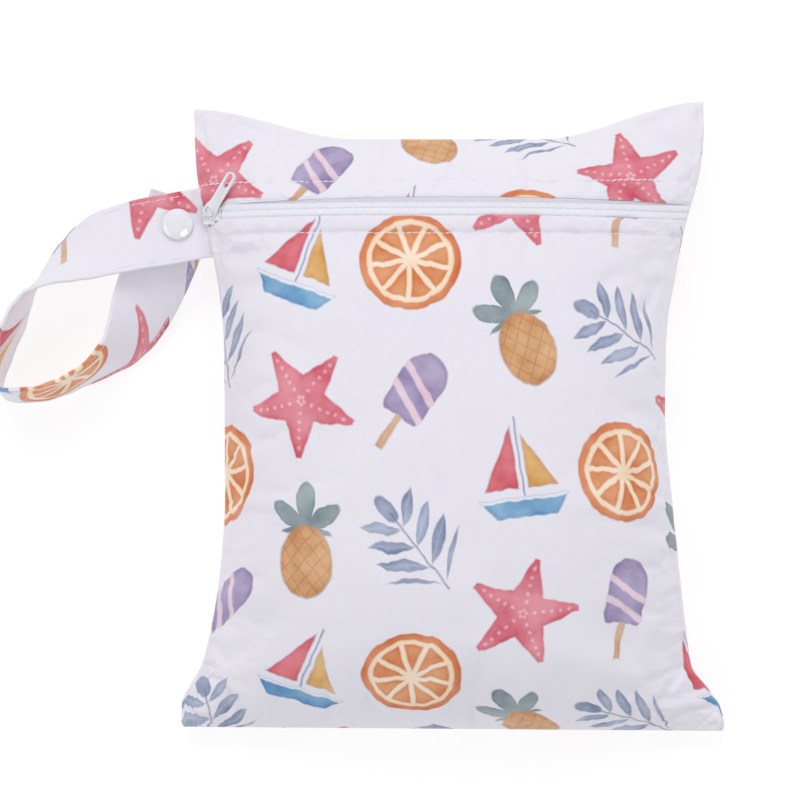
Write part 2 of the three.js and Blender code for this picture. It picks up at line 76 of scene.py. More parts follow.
def soft_light(name, place, width, power):
    """An area light that faces the middle of the table."""
    bpy.ops.object.light_add(type="AREA", location=place)
    lamp = bpy.context.object
    lamp.name = name
    lamp.data.shape = "RECTANGLE"
    lamp.data.size = width
    lamp.data.size_y = width * LIGHT_SHAPE
    lamp.data.energy = power
    x, y, z = place
    lamp.rotation_euler = (math.atan2(math.hypot(x, y), z), 0, math.atan2(x, -y))
    return lamp


top_light = soft_light("light_beyond_top", (-0.2, 1.3, 1.3), 1.2, 11.5)
top_light.visible_glossy = False
soft_light("light_at_left", (-1.15, -0.45, 0.95), 0.9, 3.3)
soft_light("light_at_right", (1.15, 0.3, 0.95), 0.9, 2.5)
soft_light("light_below", (0.42, -0.63, 1.25), 0.3, 1.1)
glint = soft_light("light_for_glint", (0.38, -0.6, 1.3), 0.62, 7)
glint.visible_diffuse = False


def new_material(name):
    """A new material, with its node tree and its shader."""
    made = bpy.data.materials.new(name)
    made.use_nodes = True
    return made, made.node_tree, made.node_tree.nodes["Principled BSDF"]


TABLE_WIDTH = 8
TABLE_TOP = -0.0003
bpy.ops.mesh.primitive_plane_add(size=TABLE_WIDTH, location=(0, 0, TABLE_TOP))
table = bpy.context.object
table.name = "table"
table_white, _, table_shader = new_material("table_white")
set_inputs(table_shader, {
    "Base Color": (0.3, 0.3, 0.3, 1),
    "Roughness": 0.9,
    "Specular IOR Level": 0.1,
    "Emission Color": (1, 1, 1, 1),
    "Emission Strength": 0.74,
})
table.data.materials.append(table_white)

# Back panel
# One cut of smooth white polyester, laminated on its inner face and printed with a holiday pattern. It is
# sewn to the front inside out and turned, so its edge is a round seam, and it lies flat where it rests.
MM = 0.001
SEAM_LIP = 1.3
SEAM_ROUND = 1.7
SEAM_GAP = 0.3
HALF_LENGTH = 121.7
BULGE = 2.2
REST_ROUNDING = 3
CORNER_SKEW = 0.11
CORNER_FROM = 0.36
BOTTOM_TILT = 0.8
TILT_FROM = -70
WALL = 0.9
ZIP_Y = 77.5

# Sections of the stuffed pouch in millimetres: place on the middle line, rise of the ends, left and right
# seam, height of the seam, push of the stuffing up and down, and how soon that fades towards the seams
POUCH_SECTIONS = np.array([
    (-121.7, 0, -103.2, 106.2, 9, 0, 0, 1.6),
    (-119.6, 0, -104.2, 106.8, 9.3, 8.8, 3, 1.3),
    (-112.7, 0, -104, 105.3, 10, 18.4, 7.5, 1.15),
    (-105, 0, -100.8, 100, 11.5, 24.6, 11, 1),
    (-97, 0, -96.2, 93.8, 13.5, 28.6, 14.5, 0.86),
    (-85, 0, -92.8, 91.6, 16, 31.5, 18.5, 0.8),
    (-60, 0, -88.4, 88.3, 20, 34.3, 24.5, 0.65),
    (-30, 0, -86.3, 85, 22, 35.6, 28, 0.58),
    (0, 0, -86.4, 82.4, 23, 36, 30, 0.56),
    (30, 0, -86.8, 83, 22.5, 34.5, 28, 0.6),
    (55, -0.5, -89.8, 86.7, 21, 30.5, 25, 0.7),
    (77.5, -0.8, -94.6, 91.5, 19, 24, 20, 0.85),
    (92, 4, -97.7, 96.8, 17, 15.5, 14, 1.05),
    (102, 9.6, -98.6, 98.2, 15, 6.5, 6, 1.35),
    (107, 13, -98.8, 98.1, 14, 0, 0, 1.6),
])
BOTTOM_Y = POUCH_SECTIONS[0, 0]
TOP_Y = POUCH_SECTIONS[-1, 0]
RISE, LEFT, RIGHT, SEAM, UP, DOWN, FADE = range(1, 8)

# Dents and folds of the front: middle, the way it runs in degrees, length, width and depth. The first eight
# are the large ones, and the rest are smaller pulls, most of them near the seams.
FOLDS = np.array([
    (87, -101, 47, 8, 2.2, 3.4),
    (-95, -104, 94, 11, 3, 2.8),
    (-50, 99, 68, 12, 3, 4.2),
    (-57, 101, 66, 10, 3.4, -1.8),
    (-80, 61, 12, 8, 3.4, 4.2),
    (-81, 53, 10, 9, 4, -1.4),
    (72, 52, 58, 17, 5, 2.4),
    (-38, -5, 40, 25, 10, 1.2),
    (75.5, 43.5, 60, 10, 3, 4),
    (61, 52, 23, 10, 3.5, 2.2),
    (68, -105, 7, 16, 4, 1.8),
    (70, -84, -25, 22, 7, 1.6),
    (58, -95, -15, 24, 7, -1.4),
    (-84, -105, -30, 10, 4, -1.5),
    (-60, -70, 25, 20, 7, 1.1),
    (74, -42, -12, 12, 3, 1.7),
    (79, -76, 65, 14, 3.5, -1.6),
    (70, -92, -50, 14, 4, 1.6),
    (92, -109, -48, 12, 3, -2),
    (86, -98, 20, 6, 1.6, 2),
    (88, -93, 8, 5, 1.4, 1.4),
    (-91, -97, 160, 6, 1.6, 1.7),
    (-80, -4, -28, 13, 3.2, 1.6),
    (-82, 30, 20, 12, 3, 1.3),
    (-84, -58, -15, 12, 3, 1.4),
    (-78, -88, 40, 14, 4, 1.6),
    (-95, -111, 50, 12, 3, -1.8),
    (40, -108, 70, 12, 5, 1.5),
    (8, -106, 95, 14, 6, 1.6),
    (-32, -108, 110, 12, 5, 1.5),
    (-58, -106, 60, 11, 5, 1.3),
    (78, 99, -55, 10, 3, 2.1),
    (62, 97, -75, 9, 3, 1.4),
    (-75, 100, 50, 10, 3, 1.8),
    (20, 101, 85, 7, 4, 1),
    (-15, 100, 95, 7, 4, 0.9),
])
FOLD_FADE = 6

# Crimps that the gathered cloth makes along the side seams: distance between two, phase and height. They
# drift along the seam, reach in by a share of their distance and have their full size above some height.
CRIMPS = [(27, 0.4, 0.3), (19, 2.1, 0.35), (13.5, 4.0, 0.25), (9.1, 1.2, 0.12)]
CRIMP_DRIFT = 1.3
CRIMP_DRIFT_LENGTH = 31
CRIMP_SIDE_PHASE = 1.9
CRIMP_REACH = 0.85
CRIMP_FULL_HEIGHT = 8

# Crimps and swells are calmer beside the zipper, which holds the cloth
CALM_SHARE = 0.85
CALM_WIDTH = 15
SWELL = 1.3
SWELL_CELL = 31
SWELL_CELLS = 16
swell_values = np.random.default_rng(11).uniform(-1, 1, (SWELL_CELLS, SWELL_CELLS))

# Cuts of the front that have settled over the stuffing: their two edges and how far their points moved
settled_cuts = []


def section(column, where):
    """One column of the table of sections as a smooth curve that never overshoots its rows."""
    at = POUCH_SECTIONS[:, 0]
    value = POUCH_SECTIONS[:, column]
    slope = np.diff(value) / np.diff(at)
    before = np.concatenate([slope[:1], slope])
    after = np.concatenate([slope, slope[-1:]])
    both = before * after
    tangent = np.where(both > 0, 2 * both / np.where(both > 0, before + after, 1), 0)
    i = np.clip(np.searchsorted(at, where, side="right") - 1, 0, len(slope) - 1)
    span = at[i + 1] - at[i]
    p = (where - at[i]) / span
    q = 1 - p
    ends = (1 + 2 * p) * q * q * value[i] + (1 + 2 * q) * p * p * value[i + 1]
    return ends + p * q * span * (q * tangent[i] - p * tangent[i + 1])


def fold_depth(x, y):
    """How deep the folds of the table press in at each point."""
    depth = np.zeros_like(x)
    for middle_x, middle_y, run, length, width, deep in FOLDS:
        turn = math.radians(run)
        along = (x - middle_x) * math.cos(turn) + (y - middle_y) * math.sin(turn)
        across = (y - middle_y) * math.cos(turn) - (x - middle_x) * math.sin(turn)
        depth += deep * np.exp(-((along / length) ** 2) - (across / width) ** 2)
    return depth


def seam_crimps(side, along, depth):
    """Height of the crimps along a side seam. The fine ones fade first with the depth in from it."""
    total = np.zeros_like(along)
    for wave, phase, size in CRIMPS:
        drift = CRIMP_DRIFT * np.sin(along / CRIMP_DRIFT_LENGTH + phase + side)
        ripple = np.sin(2 * math.pi * along / wave + phase + side * CRIMP_SIDE_PHASE + drift)
        total += size * ripple * np.exp(-depth / (CRIMP_REACH * wave))
    return total


def slow_swell(x, y):
    """Uneven stuffing: low swells and hollows under the cloth."""
    place_x = x / SWELL_CELL + SWELL_CELLS / 2
    place_y = y / SWELL_CELL + SWELL_CELLS / 2
    i = np.floor(place_x).astype(int)
    j = np.floor(place_y).astype(int)
    p = place_x - i
    q = place_y - j
    p = p * p * (3 - 2 * p)
    q = q * q * (3 - 2 * q)
    low = swell_values[i, j] * (1 - p) + swell_values[i + 1, j] * p
    high = swell_values[i, j + 1] * (1 - p) + swell_values[i + 1, j + 1] * p
    return low * (1 - q) + high * q


def curve_shares(p):
    """Shares of the four neighbours of a place on a smooth curve."""
    return (
        p * (p * (2 - p) - 1) / 2,
        (p * p * (3 * p - 5) + 2) / 2,
        p * (p * (4 - 3 * p) + 1) / 2,
        p * p * (p - 1) / 2,
    )


def bowed(edge, across):
    """A line across the front through its height at the left seam, at the middle and at the right seam."""
    left, middle, right = edge
    return middle + (right - left) / 2 * across + ((left + right) / 2 - middle) * across ** 2


def settled_move(across, y):
    """How far the settled cloth of the front moved at each point."""
    total = np.zeros(across.shape + (3,))
    for lower_edge, upper_edge, moved in settled_cuts:
        low = bowed(lower_edge, across)
        share = (y - low) / (bowed(upper_edge, across) - low)
        row_place = np.clip(share, 0, 1) * (moved.shape[0] - 1)
        column_place = np.clip((across + 1) / 2, 0, 1) * (moved.shape[1] - 1)
        row = np.minimum(row_place.astype(int), moved.shape[0] - 2)
        column = np.minimum(column_place.astype(int), moved.shape[1] - 2)
        for i, row_share in zip((-1, 0, 1, 2), curve_shares(row_place - row)):
            for j, column_share in zip((-1, 0, 1, 2), curve_shares(column_place - column)):
                at_row = np.clip(row + i, 0, moved.shape[0] - 1)
                at_column = np.clip(column + j, 0, moved.shape[1] - 1)
                total += moved[at_row, at_column] * (row_share * column_share)[..., None]
    return total


def stuffed(front, across, y, inset=0.0, folded=True):
    """Points of the stuffed cloth in millimetres: across is -1 at the left seam and 1 at the right one."""
    across, y = np.broadcast_arrays(np.asarray(across, float), np.asarray(y, float))
    left = section(LEFT, y)
    right = section(RIGHT, y)
    reach = np.minimum(np.abs(across), 1)
    puff = (1 - reach ** BULGE) ** section(FADE, y)
    x = (left + right) / 2 + across * ((right - left) / 2 - inset)
    ease = np.clip((reach - CORNER_FROM) / (1 - CORNER_FROM), 0, 1)
    rise = section(RISE, y) * (1 + CORNER_SKEW * np.sign(across)) * ease * ease * (3 - 2 * ease)
    near_bottom = np.clip((TILT_FROM - y) / (TILT_FROM - BOTTOM_Y), 0, 1)
    height = y + rise - BOTTOM_TILT * across * near_bottom ** 2
    from_side = (1 - reach) * (right - left) / 2
    rim = np.minimum(from_side, np.minimum(y - BOTTOM_Y, TOP_Y - y))
    part = 1 - np.clip(rim / SEAM_ROUND, 0, 1)
    lip = SEAM_GAP / 2 + (SEAM_LIP - SEAM_GAP / 2) * np.sqrt(1 - part ** 2)
    calm = 1 - CALM_SHARE * np.exp(-(((y - ZIP_Y) / CALM_WIDTH) ** 2))
    if front:
        crown = section(UP, y) * puff
        z = section(SEAM, y) + lip + crown - inset
        soft_part = crown / (crown + FOLD_FADE)
        pressed = fold_depth(x, height) if folded else 0
        z = z + (SWELL * slow_swell(x, height) * calm - pressed) * soft_part
    else:
        low = section(SEAM, y) - lip - section(DOWN, y) * puff
        soft = np.clip(low + REST_ROUNDING, 0, 2 * REST_ROUNDING) ** 2 / (4 * REST_ROUNDING)
        z = np.where(low >= REST_ROUNDING, low, soft) + inset
    crimp = seam_crimps(np.sign(across), height, from_side)
    z = z + crimp * calm * np.minimum(z / CRIMP_FULL_HEIGHT, 1)
    points = np.stack([x, height * (1 - inset / HALF_LENGTH), z], axis=-1)
    return points + settled_move(across, y) if front else points


def points_of(mesh):
    """The points of a mesh, one row each."""
    flat = np.empty(len(mesh.vertices) * 3)
    mesh.vertices.foreach_get("co", flat)
    return flat.reshape(-1, 3)


def place_points(piece, points):
    """Moves the points of a piece, given in millimetres."""
    piece.data.vertices.foreach_set("co", (points * MM).ravel())
    piece.data.update()


def select_only(*pieces):
    """Selects these pieces alone and makes the first one active."""
    bpy.ops.object.select_all(action="DESELECT")
    for piece in pieces:
        piece.select_set(True)
    bpy.context.view_layer.objects.active = pieces[0]


def flat_cut(name, columns, rows):
    """A flat cut of cloth as a grid of that many squares, and the column and row of each of its points."""
    bpy.ops.mesh.primitive_grid_add(x_subdivisions=columns, y_subdivisions=rows, size=2)
    cut = bpy.context.object
    cut.name = name
    flat = points_of(cut.data)
    column = np.rint((flat[:, 0] + 1) / 2 * columns).astype(int)
    row = np.rint((flat[:, 1] + 1) / 2 * rows).astype(int)
    return cut, column, row


def flat_lengths(points, along, middle):
    """Length from one place to each point of a path, or of a grid along its rows or columns."""
    step = np.linalg.norm(np.diff(points, axis=along), axis=-1)
    zero = np.zeros_like(np.take(step, [0], axis=along))
    total = np.concatenate([zero, np.cumsum(step, axis=along)], axis=along)
    return total - np.take(total, [middle], axis=along)


def cloth_over(name, grid, from_row, shift, material, thick, offset=-1, facing_down=False, turned=False):
    """Lays a cut of cloth over a grid of points. Its UV map is the flat cloth, in metres."""
    rows = grid.shape[0] - 1
    columns = grid.shape[1] - 1
    piece, column, row = flat_cut(name, columns, rows)
    place_points(piece, grid[row, column])
    if facing_down:
        piece.data.flip_normals()
    u = flat_lengths(grid, 1, columns // 2)[row, column]
    v = flat_lengths(grid, 0, from_row)[row, column]
    flat = np.stack([v, -u] if turned else [u, v], axis=-1) * MM + np.array(shift) * MM
    corner = np.empty(len(piece.data.loops), dtype=int)
    piece.data.loops.foreach_get("vertex_index", corner)
    piece.data.uv_layers[0].name = "flat_cloth"
    piece.data.uv_layers[0].data.foreach_set("uv", flat[corner].ravel())
    select_only(piece)
    wall = piece.modifiers.new("wall", "SOLIDIFY")
    wall.thickness = thick * MM
    wall.offset = offset
    bpy.ops.object.modifier_apply(modifier="wall")
    bpy.ops.object.shade_smooth()
    piece.data.materials.append(material)
    return piece


class Term:
    """A value in a node tree. Arithmetic with it adds Math nodes to that tree."""

    def __init__(self, tree, socket):
        self.tree = tree
        self.socket = socket

    def made(self, operation, *values):
        node = self.tree.nodes.new("ShaderNodeMath")
        node.operation = operation
        for socket, value in zip(node.inputs, values):
            if isinstance(value, Term):
                self.tree.links.new(value.socket, socket)
            else:
                socket.default_value = value
        return Term(self.tree, node.outputs[0])

    def then(self, operation, *others):
        return self.made(operation, self, *others)

    __add__ = partialmethod(then, "ADD")
    __radd__ = partialmethod(then, "ADD")
    __sub__ = partialmethod(then, "SUBTRACT")
    __mul__ = partialmethod(then, "MULTIPLY")
    __truediv__ = partialmethod(then, "DIVIDE")
    least = partialmethod(then, "MINIMUM")
    most = partialmethod(then, "MAXIMUM")
    size = partialmethod(then, "ABSOLUTE")
    sine = partialmethod(then, "SINE")
    cosine = partialmethod(then, "COSINE")
    angle_to = partialmethod(then, "ARCTAN2")

    def __rsub__(self, other):
        return self.made("SUBTRACT", other, self)

    def within(self, low, high):
        return self.least(high).most(low)

    def wrap(self, half):
        return self.then("WRAP", half, -half)

    def length_with(self, other):
        return (self * self + other * other).then("POWER", 0.5)


def ink(red, green, blue):
    """A colour as paper shows it, in steps of 0 to 255, as the linear colour that a shader takes."""
    share = [value / 255 for value in (red, green, blue)]
    linear = [s / 12.92 if s <= 0.04045 else ((s + 0.055) / 1.055) ** 2.4 for s in share]
    return (*linear, 1)


def axes_of(tree, vector):
    """The X and Y of a vector socket."""
    node = tree.nodes.new("ShaderNodeSeparateXYZ")
    tree.links.new(vector, node.inputs[0])
    return Term(tree, node.outputs[0]), Term(tree, node.outputs[1])


def new_group(name, takes, gives):
    """A shader node group with its sockets, and its input and output nodes."""
    tree = bpy.data.node_groups.new(name, "ShaderNodeTree")
    for in_out, sockets in (("INPUT", takes), ("OUTPUT", gives)):
        for label, kind in sockets.items():
            tree.interface.new_socket(label, in_out=in_out, socket_type="NodeSocket" + kind)
    return tree, tree.nodes.new("NodeGroupInput"), tree.nodes.new("NodeGroupOutput")


def use_group(tree, group, **values):
    """A node group set into a tree, with sockets or plain values for its inputs."""
    node = tree.nodes.new("ShaderNodeGroup")
    node.node_tree = group
    set_inputs(node, values)
    return node


def mixed(tree, share, first, second):
    """Mixes two colours, each a socket or a plain colour."""
    node = tree.nodes.new("ShaderNodeMix")
    node.data_type = "RGBA"
    tree.links.new(share.socket, node.inputs["Factor"])
    colours = [s for s in node.inputs if s.type == "RGBA"]
    for socket, value in zip(colours, (first, second)):
        if isinstance(value, tuple):
            socket.default_value = value
        else:
            tree.links.new(value, socket)
    return [s for s in node.outputs if s.type == "RGBA"][0]


# The printed pattern repeats in columns, each half a repeat higher than the one before it
REPEAT_WIDTH = 0.082
REPEAT_HEIGHT = 0.16
COLUMN_TURN = 0.45

place_tree, place_in, place_out = new_group(
    "place_in_repeat",
    {"Cloth": "Vector", "X": "Float", "Y": "Float", "Turn": "Float", "Size": "Float"},
    {"X": "Float", "Y": "Float"},
)
cloth_x, cloth_y = axes_of(place_tree, place_in.outputs["Cloth"])
take = {label: Term(place_tree, place_in.outputs[label]) for label in ("X", "Y", "Turn", "Size")}
from_x = cloth_x - take["X"]
column_number = (from_x / REPEAT_WIDTH).then("ROUND")
off_x = (from_x - column_number * REPEAT_WIDTH) / take["Size"]
off_y = cloth_y - take["Y"] - column_number * (REPEAT_HEIGHT / 2)
off_y = off_y.wrap(REPEAT_HEIGHT / 2) / take["Size"]
turn = take["Turn"] + column_number * COLUMN_TURN
turned_x = off_x * turn.cosine() + off_y * turn.sine()
turned_y = off_y * turn.cosine() - off_x * turn.sine()
set_inputs(place_out, {"X": turned_x.socket, "Y": turned_y.socket})

# A painted shape has a soft edge and a darker rim, and a wash sets its tone between a light and a dark ink
EDGE = 0.035
RIM = 0.11
RIM_DARK = 0.5
WASH_GAIN = 2.6
WASH_LESS = 1.0


def motif(draw):
    """A painted motif as a node group: draw gives its shapes as (depth inside, dark ink, light ink)."""
    tree, group_in, group_out = new_group(
        draw.__name__, {"X": "Float", "Y": "Float", "Wash": "Float"}, {"Ink": "Color", "Cover": "Float"}
    )
    x, y, wash = (Term(tree, group_in.outputs[label]) for label in ("X", "Y", "Wash"))
    colour = None
    cover = None
    for inside, dark, light in draw(x, y):
        share = (inside / EDGE).within(0, 1)
        rim = (1 - inside / RIM).within(0, 1)
        tone = (wash * WASH_GAIN - WASH_LESS + rim * RIM_DARK).within(0, 1)
        paint = mixed(tree, tone, ink(*light), ink(*dark))
        colour = paint if colour is None else mixed(tree, share, colour, paint)
        cover = share if cover is None else cover.most(share)
    set_inputs(group_out, {"Ink": colour, "Cover": cover.socket})
    return tree


def citrus_wheel(x, y):
    out = x.length_with(y)
    part = y.angle_to(x).wrap(math.pi / 9)
    wedge = (math.pi / 9 - part.size()) * out - 0.035
    return [
        (1 - out, (204, 106, 54), (226, 140, 84)),
        (0.86 - out, (246, 214, 178), (250, 232, 208)),
        (wedge.least(0.76 - out), (208, 113, 60), (231, 158, 100)),
    ]


def sea_star(x, y):
    out = x.length_with(y)
    part = x.angle_to(y).wrap(math.pi / 5)
    along = out * part.cosine()
    across = (out * part.sine()).size()
    arm = ((0.4 - along * 0.34 - across) * 0.95).least(1 - along)
    bead = 0.045 - (along - 0.06).wrap(0.075).length_with(across)
    return [
        (arm, (204, 76, 98), (229, 137, 150)),
        (bead.least(0.86 - along), (236, 176, 180), (246, 206, 206)),
    ]


def leaf_sprig(x, y):
    side = x.size()
    lift = y - side * 0.8
    row = (lift + 0.1).wrap(0.2)
    length = 0.66 - lift * 0.22
    leaf = ((side / length).within(0, 1) * math.pi).sine() * 0.15 - row.size()
    leaf = leaf.least(lift + 0.9).least(0.52 - lift)
    crest = (1 - (x / 0.15) * (x / 0.15) - ((y - 0.74) / 0.28) * ((y - 0.74) / 0.28)) * 0.11
    stem = (0.032 - side).least(y + 1.0).least(0.7 - y)
    vein = (0.014 - row.size()).least(leaf)
    return [
        (leaf, (117, 130, 162), (174, 183, 206)),
        (crest, (117, 130, 162), (174, 183, 206)),
        (vein, (212, 216, 228), (228, 230, 238)),
        (stem, (112, 118, 148), (150, 156, 180)),
    ]


def sailing_boat(x, y):
    hull = (-0.4 - y).least(y + 0.8).least((0.84 - x.size() + (y + 0.4) * 0.7) * 0.8)
    strake = (-0.4 - y).least(y + 0.5).least(hull + 0.01)
    jib = (-0.07 - x).least(y + 0.28).least((0.92 + (x + 0.07) * 1.8 - y) * 0.48)
    main = (x - 0.07).least(y + 0.28).least((0.74 - (x - 0.07) * 1.7 - y) * 0.5)
    mast = (0.03 - x.size()).least(y + 0.42).least(1.02 - y)
    return [
        (hull, (66, 128, 182), (128, 177, 212)),
        (strake, (230, 230, 238), (238, 238, 244)),
        (jib, (203, 63, 80), (224, 110, 120)),
        (main, (207, 145, 64), (230, 184, 110)),
        (mast, (128, 108, 140), (160, 142, 170)),
    ]


def ice_lolly(x, y):
    near = y - y.within(-0.1, 0.5)
    body = (0.4 - x.length_with(near)).least(y + 0.34)
    band = (0.085 - (y + x * 0.5 - 0.32).size()).least(body)
    lower = (0.085 - (y + x * 0.5 + 0.04).size()).least(body)
    stick = (0.085 - x.size()).least(y + 0.98).least(-0.3 - y)
    return [
        (stick, (196, 150, 112), (224, 190, 156)),
        (body, (131, 114, 160), (176, 162, 197)),
        (band, (226, 196, 212), (238, 216, 228)),
        (lower, (226, 196, 212), (238, 216, 228)),
    ]


def pineapple(x, y):
    low = (y + 0.34) / 0.62
    body = (1 - (x / 0.46) * (x / 0.46) - low * low) * 0.24
    scale_one = 0.022 - (x + y * 0.8).wrap(0.12).size()
    scale_two = 0.022 - (x - y * 0.8).wrap(0.12).size()
    lines = scale_one.most(scale_two).least(body - 0.02)
    up = y - 0.2
    part = x.angle_to(up)
    crown = ((part * 3.2).cosine().size() * (part * 0.6).cosine() * 0.52 + 0.26 - x.length_with(up)) * 0.8
    return [
        (crown.least(up + 0.1), (103, 121, 131), (156, 170, 171)),
        (body, (195, 132, 80), (223, 171, 115)),
        (lines, (166, 104, 74), (190, 130, 94)),
    ]


# Each motif with its place in the repeat in millimetres, its turn in degrees and half its size
LAYOUT = [
    (citrus_wheel, 0, 0, 8, 19.5),
    (sea_star, 41, 26.5, -14, 22),
    (leaf_sprig, 0, 54, 38, 22),
    (sailing_boat, 41, 80, 6, 21),
    (ice_lolly, 0, 107, -34, 22),
    (pineapple, 41, 133.5, 24, 23.5),
]

print_tree, print_in, print_out = new_group(
    "holiday_print", {"Cloth": "Vector", "Ground": "Color"}, {"Color": "Color"}
)


def cloud(tree, where, scale, detail):
    """A soft noise over the cloth."""
    node = tree.nodes.new("ShaderNodeTexNoise")
    node.inputs["Scale"].default_value = scale
    node.inputs["Detail"].default_value = detail
    tree.links.new(where, node.inputs["Vector"])
    return node


# Outlines shake by a share of half a motif, and the ink covers a little less where the wash is thin
SHAKE = 0.07
LEAST_COVER = 0.83
COVER_GAIN = 0.25
cloth = print_in.outputs["Cloth"]
wobble = axes_of(print_tree, cloud(print_tree, cloth, 130, 1).outputs["Color"])
wash = Term(print_tree, cloud(print_tree, cloth, 75, 6).outputs["Fac"])
painted = print_in.outputs["Ground"]
for draw, at_x, at_y, degrees, half in LAYOUT:
    placed = use_group(print_tree, place_tree, Cloth=cloth, X=at_x * MM, Y=at_y * MM,
                       Turn=math.radians(degrees), Size=half * MM)
    drawn = use_group(print_tree, motif(draw), Wash=wash.socket)
    for axis, shake in zip("XY", wobble):
        shaken = Term(print_tree, placed.outputs[axis]) + (shake - 0.5) * SHAKE
        set_inputs(drawn, {axis: shaken.socket})
    strength = Term(print_tree, drawn.outputs["Cover"]) * (wash * COVER_GAIN + LEAST_COVER).within(0, 1)
    painted = mixed(print_tree, strength, painted, drawn.outputs["Ink"])
set_inputs(print_out, {"Color": painted})

# The plain weave under the print: the threads cross every third of a millimetre
THREAD = 0.00034
weave_tree, weave_in, weave_out = new_group("plain_weave", {"Cloth": "Vector"}, {"Height": "Float"})
warp, weft = (axis * (math.pi / THREAD) for axis in axes_of(weave_tree, weave_in.outputs["Cloth"]))
fuzz = Term(weave_tree, cloud(weave_tree, weave_in.outputs["Cloth"], 1500, 3).outputs["Fac"])
weave_height = warp.sine() * weft.sine() * 0.5 + fuzz * 0.9
set_inputs(weave_out, {"Height": weave_height.socket})


def on_flat_cloth(tree):
    """Where each point lay on the flat cloth."""
    node = tree.nodes.new("ShaderNodeUVMap")
    node.uv_map = "flat_cloth"
    return node.outputs["UV"]


def bumped(tree, height, strength, distance, **below):
    """The normal bent by a height, with the normal below it where there is one."""
    node = tree.nodes.new("ShaderNodeBump")
    set_inputs(node, {"Height": height, "Strength": strength, "Distance": distance, **below})
    return node.outputs["Normal"]


def printed_cloth(name):
    """White laminated polyester with the print, its weave and the faint creases of handling."""
    made, tree, shader = new_material(name)
    where = on_flat_cloth(tree)
    tint = Term(tree, cloud(tree, where, 22, 3).outputs["Fac"])
    ground = mixed(tree, tint, ink(237, 234, 241), ink(232, 229, 238))
    pattern = use_group(tree, print_tree, Cloth=where, Ground=ground)
    weave = use_group(tree, weave_tree, Cloth=where)
    threads = bumped(tree, weave.outputs["Height"], 0.5, 0.00012)
    crease = cloud(tree, where, 60, 4)
    set_inputs(crease, {"Roughness": 0.45})
    creases = bumped(tree, crease.outputs["Fac"], 0.3, 0.003, Normal=threads)
    set_inputs(shader, {
        "Base Color": pattern.outputs["Color"],
        "Normal": creases,
        "Roughness": (tint * 0.12 + 0.5).socket,
        "Specular IOR Level": 0.35,
        "Sheen Weight": 0.12,
        "Sheen Roughness": 0.4,
    })
    return made


pouch_cloth = printed_cloth("pouch_cloth")


def close_at_both(count):
    """Steps from 0 to 1 drawn together towards both ends."""
    return (1 - np.cos(np.linspace(0, math.pi, count + 1))) / 2


BACK_COLUMNS = 150
BACK_ROWS = 170
back_across = close_at_both(BACK_COLUMNS) * 2 - 1
back_y = BOTTOM_Y + (TOP_Y - BOTTOM_Y) * close_at_both(BACK_ROWS)
back_grid = stuffed(False, back_across[None, :], back_y[:, None])
back = cloth_over("back_cloth", back_grid, BACK_ROWS // 2, (31, 47), pouch_cloth, WALL, facing_down=True)
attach(back, "bag")
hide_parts("back_panel")

# Front lower panel
# The large front cut of the same cloth. Its top edge is folded under beside the zipper and topstitched, and
# the stuffing pushes it up like a pillow, with soft pulls that run in from the seams and corners.
LOWER_EDGE = (76.7, 75.5, 76.4)
LOWER_STITCH = 6.8
LOWER_RISE = 2.9
LOWER_TURN = 0.999
FOLDED_EDGE = 1.3
GROOVE_WIDTH = 0.9
GROOVE_DEPTH = 0.4
BOTTOM_EDGE = (BOTTOM_Y, BOTTOM_Y, BOTTOM_Y)

# Puckers of the groove and pads between it and the fold: size, waves across the front, and how they drift
PUCKERS = (0.35, 61, 2, 17)
PADS = (0.3, 47, 3, 9)
PAD_PLACE = 0.55
PAD_WIDTH = 2.4

# The cut is a little larger than the form under it, so that it crimps where the seams and the hem hold it
EASE = 0.02
PUSH = 50
CLOTH_MASS = 0.001
CLOTH_STIFFNESS = 0.05
SETTLE_FRAMES = 16
TRIAL_COLUMNS = 110
LOWER_TRIAL_ROWS = 120
SLOW_ROUNDS = 60
LARGEST_MOVE = 3


def without_slow_part(moved):
    """Leaves the crimps of a settled cut and takes out the slow lift of the whole form."""
    slow = moved.copy()
    for _ in range(SLOW_ROUNDS):
        slow[1:-1, 1:-1] = (slow[:-2, 1:-1] + slow[2:, 1:-1] + slow[1:-1, :-2] + slow[1:-1, 2:]) / 4
    quick = moved - slow
    size = np.linalg.norm(quick, axis=-1, keepdims=True)
    return quick * np.minimum(1, LARGEST_MOVE / np.maximum(size, 1e-9))


